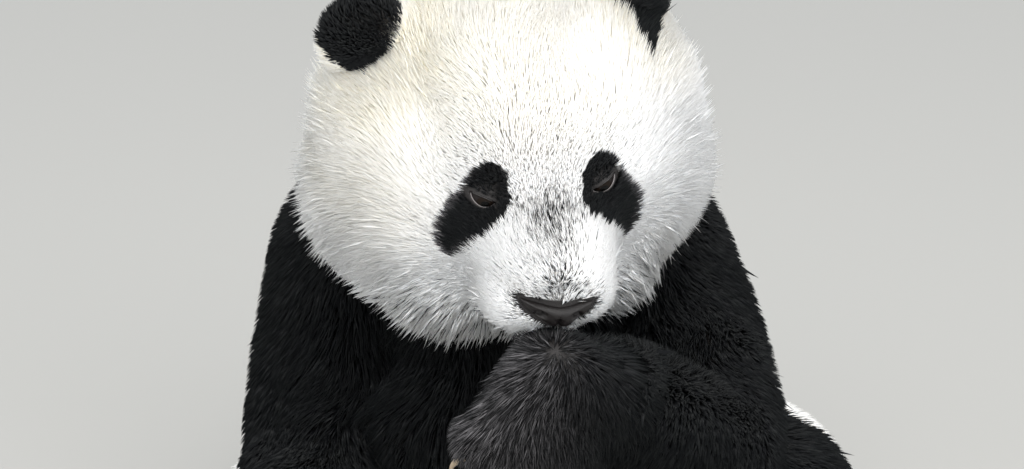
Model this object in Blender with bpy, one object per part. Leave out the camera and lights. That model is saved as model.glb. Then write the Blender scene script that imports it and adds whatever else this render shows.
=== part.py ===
"""A young giant panda, life size, sitting upright with its left wrist held to its mouth.

Metres, +Z up. The animal faces -Y and its left side is +X. It is modelled about its hips, and
at the end it is moved so that the origin is on the floor, under the middle of its outline.
Every solid reaches out to the tips of the coat.
"""

import math

import bmesh
import bpy
import numpy as np
from mathutils import Matrix, Vector
from mathutils.bvhtree import BVHTree

SIDES = (("left", 1), ("right", -1))

# Driving sizes
GAP = 0.0003  # left between two pieces that touch
HEAD_CENTRE = Vector((0.0, -0.130, 0.440))  # between the ears, level with the eyes
HEAD_TURN = 15.0  # degrees towards its left
HEAD_NOD = 15.0  # degrees down
HEAD_ROLL = 2.0  # degrees, its left side up
EYE_RADIUS = 0.0095
EYE_APART = 0.0725
EYE_DROP = -0.003  # below the head's centre
EYE_DEPTH = 0.0012  # its front behind the tips of the coat
DISH = (0.0135, 0.0032, 0.0105)  # half the width, depth and height of the dent round an eye
NOSE_WIDTH = 0.048
CLAW_RADIUS = 0.0056
CLAW_RINGS = 3
CLAW_SIDES = 5
EAR_RADIUS = 0.041
EAR_ASIDE = {1: 0.066, -1: 0.086}  # from the head's middle, by side: the left ear is drawn in
BEAD_STEP = 0.0124  # about how far the beads of a limb stand apart
ROOT_INSET = 0.074  # where a limb's root is cut off inside the trunk

NECK_CUT = Vector((0.0, -0.120, 0.300))  # the throat: the head is parted from the neck here
NECK_CUT_WAY = Vector((0.0, -0.74, 0.67)).normalized()  # and the cut faces this way, to the head

# Colours: linear red, green, blue
WHITE_COAT = (0.82, 0.78, 0.70)
BLACK_COAT = (0.012, 0.012, 0.013)
NOSE_SKIN = (0.035, 0.032, 0.035)
EYE_BROWN = (0.020, 0.011, 0.007)
HORN = (0.42, 0.33, 0.23)


def clear_scene():
    for thing in list(bpy.data.objects):
        bpy.data.objects.remove(thing)


def finish(name, colour, roughness):
    material = bpy.data.materials.new(name)
    material.use_nodes = True
    shader = material.node_tree.nodes["Principled BSDF"]
    shader.inputs["Base Color"].default_value = (*colour, 1.0)
    shader.inputs["Roughness"].default_value = roughness
    shader.inputs["Metallic"].default_value = 0.0
    return material


# ---- Frames: three axes and an origin, so that a piece is described in its own directions ----


def frame_of(origin, forward, up):
    """A frame whose x is to the animal's left, y runs forward and z up, as near as can be."""
    y = Vector(forward).normalized()
    x = y.cross(Vector(up)).normalized() * -1.0
    z = y.cross(x)
    if z.dot(Vector(up)) < 0:
        z.negate()
    return Matrix.Translation(origin) @ Matrix((x, y, z)).transposed().to_4x4()


def head_frame():
    turn, nod, roll = (math.radians(a) for a in (HEAD_TURN, HEAD_NOD, HEAD_ROLL))
    forward = Vector(
        (math.sin(turn) * math.cos(nod), -math.cos(turn) * math.cos(nod), -math.sin(nod))
    )
    frame = frame_of(HEAD_CENTRE, forward, (0.0, 0.0, 1.0))
    return frame @ Matrix.Rotation(-roll, 4, "Y")


# ---- Flesh: overlapping balls and lumps, melted into one smooth closed skin ----


def lump(bm, centre, radii, frame=None, turn=None, fineness=3):
    """An ellipsoid at a centre in the frame; turn is a rotation of it about that centre."""
    placed = (frame or Matrix()) @ Matrix.Translation(centre)
    if turn is not None:
        placed = placed @ turn
    size = Matrix.Diagonal((*radii, 1.0))
    bmesh.ops.create_icosphere(bm, subdivisions=fineness, radius=1.0, matrix=placed @ size)


def smooth_between(points, t):
    """A point on the smooth curve through the points, t running from 0 to len(points) - 1."""
    last = len(points) - 1
    i = min(int(t), last - 1)
    u = t - i
    before, a, b, after = (points[min(max(k, 0), last)] for k in (i - 1, i, i + 1, i + 2))
    return 0.5 * (
        2.0 * a
        + (b - before) * u
        + (2.0 * before - 5.0 * a + 4.0 * b - after) * u**2
        + (3.0 * a - before - 3.0 * b + after) * u**3
    )


def limb(bm, joints):
    """Balls close together along a smooth line through (centre, radius) joints."""
    points = [np.array((*centre, radius)) for centre, radius in joints]
    for i in range(len(points) - 1):
        length = np.linalg.norm(points[i + 1][:3] - points[i][:3])
        steps = max(2, int(length / BEAD_STEP))
        for k in range(steps + 1):
            ball = smooth_between(points, i + k / steps)
            lump(bm, ball[:3], (ball[3],) * 3)


def mesh_object(name, bm):
    mesh = bpy.data.meshes.new(name)
    bmesh.ops.recalc_face_normals(bm, faces=bm.faces)
    bm.to_mesh(mesh)
    bm.free()
    made = bpy.data.objects.new(name, mesh)
    bpy.context.scene.collection.objects.link(made)
    return made


def apply_modifiers(piece):
    """Bakes the modifiers into the mesh, as one body without loose crumbs."""
    graph = bpy.context.evaluated_depsgraph_get()
    old = piece.data
    piece.data = bpy.data.meshes.new_from_object(piece.evaluated_get(graph), depsgraph=graph)
    piece.modifiers.clear()
    bpy.data.meshes.remove(old)
    keep_largest_body(piece)


def keep_largest_body(piece):
    bm = bmesh.new()
    bm.from_mesh(piece.data)
    left = set(bm.verts)
    bodies = []
    while left:
        body, edge_of = set(), [left.pop()]
        while edge_of:
            vert = edge_of.pop()
            body.add(vert)
            for edge in vert.link_edges:
                other = edge.other_vert(vert)
                if other in left:
                    left.discard(other)
                    edge_of.append(other)
        bodies.append(body)
    bodies.sort(key=len)
    for body in bodies[:-1]:
        bmesh.ops.delete(bm, geom=list(body), context="VERTS")
    bm.to_mesh(piece.data)
    bm.free()


def melt(name, bm, voxel, smoothing, triangles):
    """The lumps as one skin of about so many triangles."""
    piece = mesh_object(name, bm)
    remesh = piece.modifiers.new("one_skin", "REMESH")
    remesh.mode = "VOXEL"
    remesh.voxel_size = voxel
    smooth = piece.modifiers.new("smooth", "SMOOTH")
    smooth.factor = 0.5
    smooth.iterations = smoothing
    apply_modifiers(piece)
    now = sum(len(face.vertices) - 2 for face in piece.data.polygons)
    thin = piece.modifiers.new("thin", "DECIMATE")
    thin.ratio = min(1.0, triangles / now)
    thin.use_collapse_triangulate = True
    apply_modifiers(piece)
    return piece


# ---- Parting: what touches keeps a gap, and a body is parted by thin flat cuts ----


def swollen_copy(piece):
    cutter = piece.copy()
    cutter.data = piece.data.copy()
    for vert in cutter.data.vertices:
        vert.co += vert.normal * GAP * 1.3
    cutter.hide_render = True
    cutter.display_type = "WIRE"
    bpy.context.scene.collection.objects.link(cutter)
    return cutter


def near(a, b):
    """Whether the boxes of the two pieces meet."""
    box_a, box_b = (np.array([v.co[:] for v in o.data.vertices]) for o in (a, b))
    low = np.maximum(box_a.min(0), box_b.min(0))
    high = np.minimum(box_a.max(0), box_b.max(0))
    return bool((high + 2 * GAP > low).all())


def make_room(piece, *others):
    """Cuts each of the others out of the piece, with the gap all round."""
    for other in others:
        if not near(piece, other):
            continue
        cutter = swollen_copy(other)
        cut = piece.modifiers.new("room", "BOOLEAN")
        cut.operation = "DIFFERENCE"
        cut.object = cutter
        cut.solver = "EXACT"
        apply_modifiers(piece)
        bpy.data.objects.remove(cutter)


def keep_side(piece, point, normal):
    """Cuts the piece off flat and keeps the side that the normal points to."""
    bm = bmesh.new()
    bm.from_mesh(piece.data)
    geometry = bm.verts[:] + bm.edges[:] + bm.faces[:]
    cut = bmesh.ops.bisect_plane(
        bm, geom=geometry, dist=1e-7, plane_co=point, plane_no=normal, clear_inner=True
    )
    rim = [e for e in cut["geom_cut"] if isinstance(e, bmesh.types.BMEdge)]
    bmesh.ops.holes_fill(bm, edges=rim, sides=0)
    bmesh.ops.remove_doubles(bm, verts=bm.verts, dist=1e-6)
    bmesh.ops.triangulate(bm, faces=[f for f in bm.faces if len(f.verts) > 3])
    bmesh.ops.recalc_face_normals(bm, faces=bm.faces)
    bm.to_mesh(piece.data)
    bm.free()


def part_at(piece, name, point, normal):
    """Parts the piece at a plane: it keeps the near side, and the far side is a new piece."""
    point, normal = Vector(point), Vector(normal).normalized()
    far = piece.copy()
    far.data = piece.data.copy()
    far.name = name
    bpy.context.scene.collection.objects.link(far)
    for side, way in ((far, normal), (piece, -normal)):
        keep_side(side, point + way * GAP / 2, way)
        keep_largest_body(side)
    return far


def take_out(piece, name, frame, centre, half_sizes):
    """Parts the piece at the walls of a box: what is inside the box becomes a new piece."""
    bm = bmesh.new()
    size = Matrix.Diagonal((*half_sizes, 1.0))
    bmesh.ops.create_cube(bm, size=2.0, matrix=frame @ Matrix.Translation(centre) @ size)
    box = mesh_object("box", bm)
    inside = piece.copy()
    inside.data = piece.data.copy()
    inside.name = name
    bpy.context.scene.collection.objects.link(inside)
    cut = inside.modifiers.new("inside", "BOOLEAN")
    cut.operation = "INTERSECT"
    cut.object = box
    cut.solver = "EXACT"
    apply_modifiers(inside)
    make_room(piece, box)
    bpy.data.objects.remove(box)
    return inside


def rest_on_floor(piece):
    keep_side(piece, (0.0, 0.0, 0.0), (0.0, 0.0, 1.0))


# ---- The head ----


def add_neck(bm):
    limb(bm, [((0.0, -0.006, 0.330), 0.094), ((0.0, -0.090, 0.412), 0.090)])


def make_head(frame):
    bm = bmesh.new()
    add_neck(bm)
    lump(bm, (0.0, 0.0, 0.012), (0.113, 0.106, 0.096), frame)  # skull
    lump(bm, (0.0, 0.042, -0.014), (0.106, 0.068, 0.086), frame)  # brow and face
    for side in (-1, 1):
        lump(bm, (side * 0.062, 0.010, -0.008), (0.064, 0.074, 0.072), frame)  # temple
        lump(bm, (side * 0.066, 0.016, -0.050), (0.068, 0.076, 0.070), frame)  # cheek
        lump(bm, (side * 0.038, 0.050, -0.094), (0.056, 0.048, 0.047), frame)  # jaw ruff
        lump(bm, (side * 0.018, 0.114, -0.064), (0.027, 0.035, 0.025), frame)  # upper lip
    lump(bm, (0.0, 0.034, -0.100), (0.060, 0.060, 0.048), frame)  # throat ruff
    lump(bm, (0.0, 0.092, -0.043), (0.047, 0.054, 0.041), frame)  # muzzle
    lump(bm, (0.0, 0.112, -0.036), (0.024, 0.042, 0.021), frame)  # bridge of the nose
    lump(bm, (0.0, 0.098, -0.084), (0.034, 0.036, 0.026), frame)  # chin
    head = melt("head", bm, voxel=0.006, smoothing=5, triangles=1200)
    keep_side(head, NECK_CUT, NECK_CUT_WAY)
    return head


def make_nose(frame):
    """A wide pad, flat above, with a lobe round each nostril and a narrower foot."""
    half = NOSE_WIDTH / 2
    bm = bmesh.new()
    lump(bm, (0.0, 0.145, -0.056), (half * 0.68, 0.0120, 0.0095), frame)
    for side in (-1, 1):
        lump(bm, (side * half * 0.56, 0.141, -0.0555), (half * 0.44, 0.0110, 0.0080), frame)
    lump(bm, (0.0, 0.143, -0.064), (half * 0.34, 0.0095, 0.0080), frame)
    return melt("nose", bm, voxel=0.002, smoothing=3, triangles=220)


def surface_from(piece, origin, direction):
    """Where a line from outside, running along the direction, first meets the piece."""
    bm = bmesh.new()
    bm.from_mesh(piece.data)
    tree = BVHTree.FromBMesh(bm)
    bm.free()
    return tree.ray_cast(origin, direction)[0]


def make_eye(name, head, frame, side):
    """A ball set in a shallow dish, its front a little behind the tips of the coat."""
    outside = frame @ Vector((side * EYE_APART / 2, 0.20, EYE_DROP))
    inward = (frame.to_3x3() @ Vector((0.0, -1.0, 0.0))).normalized()
    front = surface_from(head, outside, inward)
    bm = bmesh.new()
    lump(bm, front, DISH, None, frame.to_3x3().to_4x4(), fineness=2)
    dish = mesh_object("dish", bm)
    make_room(head, dish)
    bpy.data.objects.remove(dish)
    bm = bmesh.new()
    centre = front + inward * (EYE_RADIUS + EYE_DEPTH)
    bmesh.ops.create_uvsphere(
        bm, u_segments=10, v_segments=7, radius=EYE_RADIUS, matrix=Matrix.Translation(centre)
    )
    eye = mesh_object(name, bm)
    make_room(head, eye)
    return eye


def make_ear(name, head, frame, side):
    """A round furry cup, leaning out and a little forward."""
    lean = Matrix.Rotation(math.radians(side * 24.0), 4, "Y")
    swing = Matrix.Rotation(math.radians(-side * 22.0), 4, "Z")
    bm = bmesh.new()
    centre = Vector((side * EAR_ASIDE[side], 0.016, 0.060))
    lump(bm, centre, (EAR_RADIUS * 0.94, EAR_RADIUS * 0.52, EAR_RADIUS), frame, lean @ swing)
    root = centre - Vector((side * 0.014, 0.0, 0.028))
    lump(bm, root, (EAR_RADIUS * 0.8, EAR_RADIUS * 0.62, EAR_RADIUS * 0.8), frame, lean @ swing)
    ear = melt(name, bm, voxel=0.005, smoothing=3, triangles=220)
    make_room(ear, head)
    return ear


# ---- Paws: a palm or sole, five toes side by side, and a claw on each ----


def paw_lumps(bm, frame, length, width, thickness):
    """The frame starts at the wrist or heel: y runs to the toes, z out of the paw's back."""
    half = (width / 2, length / 2, thickness / 2)
    lump(bm, (0.0, length * 0.46, 0.0), (half[0], half[1] * 0.98, half[2]), frame)
    lump(bm, (0.0, length * 0.66, -thickness * 0.08), (half[0] * 1.04, half[1] * 0.5, half[2]), frame)
    for place in toe_places(length, width):
        lump(bm, place - Vector((0.0, 0.006, 0.0)), (width * 0.125, 0.021, thickness * 0.36), frame)


def toe_places(length, width):
    """The five toe tips, on an arc across the front of the paw."""
    return [
        Vector((across * width * 0.39, length * (0.93 - 0.13 * across**2), -0.004))
        for across in (-1.0, -0.5, 0.0, 0.5, 1.0)
    ]


def claw_ring(bm, frame, centre, radius):
    """A narrow upright oval of points; the claw's next ring joins on to it."""
    angles = [math.tau * k / CLAW_SIDES for k in range(CLAW_SIDES)]
    return [
        bm.verts.new(
            frame
            @ (centre + radius * Vector((0.72 * math.cos(a), 0.30 * math.sin(a), math.sin(a))))
        )
        for a in angles
    ]


def make_claws(name, paw, frame, length, width, claw_length, droop):
    """Curved cones: each starts in a toe and bends down towards its point."""
    claws = []
    for number, place in enumerate(toe_places(length, width), start=1):
        bm = bmesh.new()
        root = place + Vector((0.0, 0.004, -0.001))
        rings = []
        for i in range(CLAW_RINGS):
            t = i / CLAW_RINGS
            centre = root + claw_length * Vector((0.0, t, -droop * t**2))
            rings.append(claw_ring(bm, frame, centre, CLAW_RADIUS * (1.0 - t) ** 0.7))
        tip = bm.verts.new(frame @ (root + claw_length * Vector((0.0, 1.0, -droop))))
        bmesh.ops.bridge_loops(bm, edges=[
            bm.edges.new((ring[k - 1], ring[k])) for ring in rings for k in range(CLAW_SIDES)
        ])
        for k in range(CLAW_SIDES):
            bm.faces.new((rings[-1][k - 1], rings[-1][k], tip))
        bm.faces.new(rings[0])
        claw = mesh_object(f"{name}_{number}", bm)
        make_room(claw, paw)
        claws.append(claw)
    return claws


# ---- The limbs: each is melted whole with its paw, then parted at its joints ----

FORELEGS = {
    "left": {
        "joints": [
            ((0.078, 0.000, 0.272), 0.076),
            ((0.112, -0.060, 0.235), 0.063),
            ((0.131, -0.142, 0.203), 0.052),
            ((0.084, -0.200, 0.250), 0.048),
            ((0.036, -0.250, 0.297), 0.040),
        ],
        "elbow": ((0.131, -0.140, 0.203), (-0.25, -0.80, 0.35)),
        "wrist": ((0.048, -0.240, 0.290), (-0.75, -0.60, 0.10)),
        "paw": ((0.030, -0.262, 0.313), (-0.26, -0.16, -0.94), (0.15, -1.0, 0.12)),
        "sizes": {"length": 0.077, "width": 0.099, "thickness": 0.051},  # its toes are drawn in
    },
    "right": {
        "joints": [
            ((-0.080, 0.000, 0.270), 0.079),
            ((-0.106, -0.034, 0.218), 0.064),
            ((-0.121, -0.078, 0.164), 0.055),
            ((-0.128, -0.140, 0.150), 0.049),
            ((-0.132, -0.190, 0.148), 0.042),
        ],
        "elbow": ((-0.121, -0.080, 0.164), (0.0, -0.9, -0.45)),
        "wrist": ((-0.131, -0.186, 0.148), (-0.05, -1.0, -0.1)),
        "paw": ((-0.132, -0.192, 0.146), (-0.06, -0.86, -0.40), (-0.2, -0.35, 1.0)),
        "sizes": {"length": 0.090, "width": 0.100, "thickness": 0.050},
    },
}

HINDLEGS = {
    "left": {
        "joints": [
            ((0.088, 0.045, 0.088), 0.092),
            ((0.140, -0.020, 0.108), 0.078),
            ((0.172, -0.082, 0.122), 0.067),
            ((0.172, -0.150, 0.088), 0.056),
            ((0.166, -0.218, 0.045), 0.049),
        ],
        "knee": ((0.172, -0.100, 0.116), (0.0, -0.9, -0.4)),
        "ankle": ((0.167, -0.208, 0.055), (0.0, -1.0, -0.25)),
        "paw": ((0.166, -0.236, 0.006), (0.14, -0.22, 0.96), (-0.1, 0.97, 0.22)),
    },
    "right": {
        "joints": [
            ((-0.088, 0.045, 0.078), 0.084),
            ((-0.142, -0.028, 0.070), 0.069),
            ((-0.180, -0.098, 0.066), 0.060),
            ((-0.182, -0.170, 0.060), 0.053),
            ((-0.180, -0.240, 0.047), 0.048),
        ],
        "knee": ((-0.186, -0.112, 0.077), (0.0, -1.0, -0.15)),
        "ankle": ((-0.182, -0.230, 0.050), (0.0, -1.0, -0.2)),
        "paw": ((-0.182, -0.258, 0.010), (-0.20, -0.20, 0.96), (0.1, 0.97, 0.22)),
    },
}
HINDPAW = {"length": 0.118, "width": 0.080, "thickness": 0.056}


def make_limb(name, plan, sizes, side, triangles):
    """The whole limb, cut flat on its inner side where it joins the trunk."""
    bm = bmesh.new()
    limb(bm, plan["joints"])
    frame = frame_of(*plan["paw"])
    paw_lumps(bm, frame, **sizes)
    leg = melt(name, bm, voxel=0.0062, smoothing=3, triangles=triangles)
    keep_root(leg, side)
    return leg, frame


def keep_root(leg, side):
    """Cuts the limb's root off flat, a little way inside the trunk, and leaves the paw alone."""
    keep_side(leg, (side * ROOT_INSET, 0.0, 0.0), (side * 1.0, -0.45, 0.0))


# ---- The trunk ----


def make_trunk():
    bm = bmesh.new()
    lump(bm, (0.0, 0.048, 0.124), (0.172, 0.154, 0.136))  # hips
    lump(bm, (0.0, -0.022, 0.150), (0.148, 0.132, 0.138))  # belly
    lump(bm, (0.0, 0.022, 0.240), (0.138, 0.130, 0.122))  # ribs
    lump(bm, (0.0, 0.014, 0.312), (0.108, 0.098, 0.088))  # withers
    add_neck(bm)
    trunk = melt("trunk", bm, voxel=0.010, smoothing=5, triangles=900)
    keep_side(trunk, NECK_CUT - NECK_CUT_WAY * GAP, -NECK_CUT_WAY)
    return trunk


def make_tail():
    bm = bmesh.new()
    limb(bm, [((0.0, 0.150, 0.085), 0.026), ((0.0, 0.176, 0.050), 0.030), ((0.0, 0.180, 0.024), 0.025)])
    return melt("tail", bm, voxel=0.006, smoothing=2, triangles=140)


def stand_on_origin(pieces):
    """Moves the animal so that the middle of its outline, seen from above, is over the origin."""
    points = np.array([vert.co[:] for piece in pieces for vert in piece.data.vertices])
    middle = (points.min(0) + points.max(0)) / 2.0
    shift = Matrix.Translation((-middle[0], -middle[1], 0.0))
    for piece in pieces:
        piece.data.transform(shift)


def build():
    clear_scene()
    white = finish("white_coat", WHITE_COAT, 0.85)
    black = finish("black_coat", BLACK_COAT, 0.75)
    nose_skin = finish("nose_skin", NOSE_SKIN, 0.42)
    eye_brown = finish("eye_brown", EYE_BROWN, 0.08)
    horn = finish("horn", HORN, 0.45)

    frame = head_frame()
    head = make_head(frame)
    nose = make_nose(frame)
    make_room(head, nose)
    eyes = [make_eye(f"eye_{word}", head, frame, side) for word, side in SIDES]
    ears = [make_ear(f"ear_{word}", head, frame, side) for word, side in SIDES]

    forelegs, hindlegs, claws, dark = {}, {}, [], list(ears)
    for word, side in SIDES:
        sizes = FORELEGS[word]["sizes"]
        leg, paw_frame = make_limb(f"upper_arm_{word}", FORELEGS[word], sizes, side, 480)
        make_room(leg, head, nose)
        forelegs[word] = leg
        claws += make_claws(
            f"claw_forepaw_{word}", leg, paw_frame, sizes["length"], sizes["width"], 0.019, 0.5
        )
    for word, side in SIDES:
        leg, paw_frame = make_limb(f"thigh_{word}", HINDLEGS[word], HINDPAW, side, 460)
        make_room(leg, *forelegs.values(), *claws)
        rest_on_floor(leg)
        hindlegs[word] = leg
        claws += make_claws(
            f"claw_hindpaw_{word}", leg, paw_frame, HINDPAW["length"], HINDPAW["width"], 0.017, 0.5
        )

    trunk = make_trunk()
    rest_on_floor(trunk)
    make_room(trunk, head, *ears, *forelegs.values(), *hindlegs.values())
    tail = make_tail()
    rest_on_floor(tail)
    make_room(tail, trunk)

    for word, _ in SIDES:
        plan = FORELEGS[word]
        forearm = part_at(forelegs[word], f"forearm_{word}", *plan["elbow"])
        dark += [forelegs[word], forearm, part_at(forearm, f"forepaw_{word}", *plan["wrist"])]
        plan = HINDLEGS[word]
        shank = part_at(hindlegs[word], f"shank_{word}", *plan["knee"])
        dark += [hindlegs[word], shank, part_at(shank, f"hindpaw_{word}", *plan["ankle"])]
    chest = part_at(trunk, "chest", (0.0, 0.0, 0.190), (0.0, -0.25, 1.0))
    neck = part_at(chest, "neck", (0.0, -0.020, 0.335), (0.0, -0.65, 0.76))
    muzzle = take_out(head, "muzzle", frame, (0.0, 0.146, -0.062), (0.054, 0.050, 0.052))
    dark.append(chest)

    stand_on_origin([head, muzzle, neck, trunk, tail, nose, *dark, *eyes, *claws])
    for pieces, material in (
        ([head, muzzle, neck, trunk, tail], white),
        (dark, black),
        ([nose], nose_skin),
        (eyes, eye_brown),
        (claws, horn),
    ):
        for piece in pieces:
            piece.data.materials.clear()
            piece.data.materials.append(material)
            piece.data.shade_smooth()
            piece.data.set_sharp_from_angle(angle=math.radians(40.0))


build()
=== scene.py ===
import math

import bmesh
import bpy
import numpy as np
from mathutils import Matrix, Vector
from mathutils.bvhtree import BVHTree
from mathutils.kdtree import KDTree


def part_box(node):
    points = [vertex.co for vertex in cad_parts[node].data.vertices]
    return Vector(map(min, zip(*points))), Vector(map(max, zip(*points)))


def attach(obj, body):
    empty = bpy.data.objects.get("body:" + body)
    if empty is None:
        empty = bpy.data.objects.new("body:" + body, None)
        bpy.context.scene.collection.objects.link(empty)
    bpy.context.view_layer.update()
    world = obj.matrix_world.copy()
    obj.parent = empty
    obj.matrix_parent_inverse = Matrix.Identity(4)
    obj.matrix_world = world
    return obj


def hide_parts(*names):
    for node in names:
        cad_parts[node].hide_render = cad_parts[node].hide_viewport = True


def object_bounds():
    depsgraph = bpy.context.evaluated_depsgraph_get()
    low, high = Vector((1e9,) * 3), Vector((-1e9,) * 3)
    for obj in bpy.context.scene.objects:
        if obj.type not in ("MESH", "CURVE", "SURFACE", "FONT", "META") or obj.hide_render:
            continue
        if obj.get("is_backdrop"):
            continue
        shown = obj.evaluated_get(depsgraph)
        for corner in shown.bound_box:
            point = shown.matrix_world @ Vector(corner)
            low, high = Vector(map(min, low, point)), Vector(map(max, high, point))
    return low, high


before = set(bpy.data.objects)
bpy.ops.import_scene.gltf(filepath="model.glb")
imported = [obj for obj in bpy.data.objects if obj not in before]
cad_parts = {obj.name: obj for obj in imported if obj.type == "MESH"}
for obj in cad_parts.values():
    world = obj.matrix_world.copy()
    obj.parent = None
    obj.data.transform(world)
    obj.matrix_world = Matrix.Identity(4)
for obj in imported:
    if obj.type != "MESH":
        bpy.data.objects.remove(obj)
CAD_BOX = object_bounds()

# ---- Hide: the shape --------------------------------------------------------------------------
# The animal's whole hide is one soft, closed skin under the coat. It lies inside the outline
# by as much as the coat stands: some 4 mm on the muzzle and about 20 mm on cheeks and back.
# An arm that only touches the body keeps its own skin there, so each limb is drawn in apart.

SIDES = (("left", 1), ("right", -1))
HEAD_TURNED = [math.radians(angle) for angle in (15.0, 15.0, 2.0)]  # aside, down and tilted
EYE_ASIDE, EYE_FORWARD, EYE_BELOW = 0.036, 0.0932, 0.003  # an eye, from the head's middle
SWELL = 0.0006  # closes the thin gaps between the nodes
GROUP_VOXEL, HIDE_VOXEL = 0.005, 0.0045
FLOOR_COAT, FLOOR_NEAR = 0.003, 0.002  # the coat is pressed flat under the animal
COAT_DEPTH = {
    "muzzle": 0.0040, "ear": 0.0040, "neck": 0.022, "chest": 0.021, "trunk": 0.022,
    "tail": 0.009, "upper_arm": 0.017, "forearm": 0.015, "forepaw": 0.0055,
    "thigh": 0.017, "shank": 0.013, "hindpaw": 0.0050, "nose": 0.0040, "eye": 0.0030,
}
CORE = [
    "head", "muzzle", "neck", "chest", "trunk", "tail", "nose",
    *(part + "_" + side for side, _ in SIDES for part in ("eye", "ear", "upper_arm", "thigh")),
]
LIMBS = [
    [part + "_" + side for part in parts]
    for side, _ in SIDES
    for parts in (("upper_arm", "forearm", "forepaw"), ("thigh", "shank", "hindpaw"))
]
PARTED_FROM = ("chest", "trunk", "forearm", "shank")
RIM_DEPTH = 0.017  # a group's cut ends stay below the skin of the group that runs on
LEAST_INSIDE = 0.85  # the share of the coat's depth that every place of the hide is inside
FLESH = [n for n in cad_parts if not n.startswith(("eye", "nose", "claw"))]


def unit(vectors):
    return vectors / np.maximum(np.linalg.norm(vectors, axis=-1, keepdims=True), 1e-12)


def step(low, high, x):
    """0 below low, 1 above high and smooth between; the other way round if high is below."""
    t = np.clip((x - low) / (high - low), 0.0, 1.0)
    return t * t * (3.0 - 2.0 * t)


def within(low, x, high):
    return (x > low) & (x < high)


def middle(node):
    low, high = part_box(node)
    return (np.array(low) + np.array(high)) / 2


def head_axes():
    """The head's own directions as rows: to its left, forward and up."""
    sin_turn, sin_nod, sin_roll = map(math.sin, HEAD_TURNED)
    cos_turn, cos_nod, cos_roll = map(math.cos, HEAD_TURNED)
    forward = np.array((sin_turn * cos_nod, -cos_turn * cos_nod, -sin_nod))
    level = np.array((cos_turn, sin_turn, 0.0))
    upright = np.array((sin_turn * sin_nod, -cos_turn * sin_nod, cos_nod))
    left, up = cos_roll * level + sin_roll * upright, cos_roll * upright - sin_roll * level
    return np.array((left, forward, up))


HEAD_AXES = head_axes()
HEAD_MIDDLE = (
    (middle("eye_left") + middle("eye_right")) / 2
    - EYE_FORWARD * HEAD_AXES[1]
    + EYE_BELOW * HEAD_AXES[2]
)


def in_head(points):
    """Places as seen from the middle of the head: left, forward, up."""
    return (points - HEAD_MIDDLE) @ HEAD_AXES.T


def from_head(places):
    return HEAD_MIDDLE + np.asarray(places) @ HEAD_AXES


def apart(places):
    """How far aside to either side, ahead and above places on the head are."""
    return np.abs(places[:, 0]), places[:, 1], places[:, 2]


def distance(places, spot):
    """How far places on the head are from a spot, given for its left side, on either side."""
    return np.linalg.norm(np.stack(apart(places), 1) - spot, axis=1)


def node_arrays(name, swell=0.0):
    """A node's corners and faces, merged, each corner moved outwards by swell."""
    bm = bmesh.new()
    bm.from_mesh(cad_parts[name].data)
    bmesh.ops.remove_doubles(bm, verts=bm.verts, dist=1e-6)
    bm.normal_update()
    points = [v.co + v.normal * swell for v in bm.verts]
    faces = [[v.index for v in f.verts] for f in bm.faces]
    bm.free()
    return points, faces


def solid_mesh(name, solids):
    """One mesh of several closed solids, each given as (points, faces)."""
    points, faces = [], []
    for corners, sides in solids:
        faces += [[i + len(points) for i in side] for side in sides]
        points += list(corners)
    mesh = bpy.data.meshes.new(name)
    mesh.from_pydata(points, [], faces)
    return mesh


def linked(name, data):
    """A mesh, camera or light as an object of the scene."""
    made = bpy.data.objects.new(name, data)
    bpy.context.scene.collection.objects.link(made)
    return made


def evaluated(thing):
    """What an object's modifiers make of it, as a plain mesh."""
    graph = bpy.context.evaluated_depsgraph_get()
    return bpy.data.meshes.new_from_object(thing.evaluated_get(graph), depsgraph=graph)


def largest_body(mesh):
    """Drops every loose shell but the one with the most corners."""
    bm = bmesh.new()
    bm.from_mesh(mesh)
    left, bodies = set(bm.verts), []
    while left:
        body, edge_of = [], [left.pop()]
        while edge_of:
            vert = edge_of.pop()
            body.append(vert)
            near = {e.other_vert(vert) for e in vert.link_edges} & left
            left -= near
            edge_of += near
        bodies.append(body)
    bodies.sort(key=len)
    for body in bodies[:-1]:
        bmesh.ops.delete(bm, geom=body, context="VERTS")
    bm.to_mesh(mesh)
    bm.free()


def melted(name, mesh, voxel):
    """The solids of a mesh as one closed skin of small even faces."""
    thing = linked(name, mesh)
    remesh = thing.modifiers.new("melt", "REMESH")
    remesh.mode, remesh.voxel_size = "VOXEL", voxel
    skin = evaluated(thing)
    bpy.data.objects.remove(thing)
    bpy.data.meshes.remove(mesh)
    skin.name = name
    largest_body(skin)
    return skin


def surface_of(mesh):
    """The mesh's faces, for finding the nearest of them or where a ray meets them."""
    return BVHTree.FromPolygons([v.co for v in mesh.vertices], [p.vertices for p in mesh.polygons])


def numbers(items, name, width=1, kind=np.float32):
    """One property of all items as an array, a row for each where it has several numbers."""
    found = np.empty(len(items) * width, kind)
    items.foreach_get(name, found)
    found = found.astype(np.float64) if kind == np.float32 else found
    return found.reshape(-1, width) if width > 1 else found


def corners_and_edges(mesh):
    return numbers(mesh.vertices, "co", 3), numbers(mesh.edges, "vertices", 2, np.int32)


def move_corners(mesh, points):
    mesh.vertices.foreach_set("co", points.astype(np.float32).ravel())


def normals_at(mesh, points):
    """The mesh's normals, with its corners moved to these points."""
    move_corners(mesh, points)
    mesh.update()
    return numbers(mesh.vertex_normals, "vector", 3)


def relaxed(values, edges, rounds, share=1.0):
    """Each corner's values drawn to the mean of its neighbours', some rounds over."""
    columns = values.reshape(len(values), -1).astype(float).T.copy()
    first, second = edges.T
    count = np.maximum(np.bincount(edges.ravel(), minlength=len(values)), 1)
    for _ in range(rounds):
        for column in columns:
            total = np.bincount(first, column[second], len(values))
            total += np.bincount(second, column[first], len(values))
            column += share * (total / count - column)
    return columns.T.reshape(values.shape)


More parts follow.
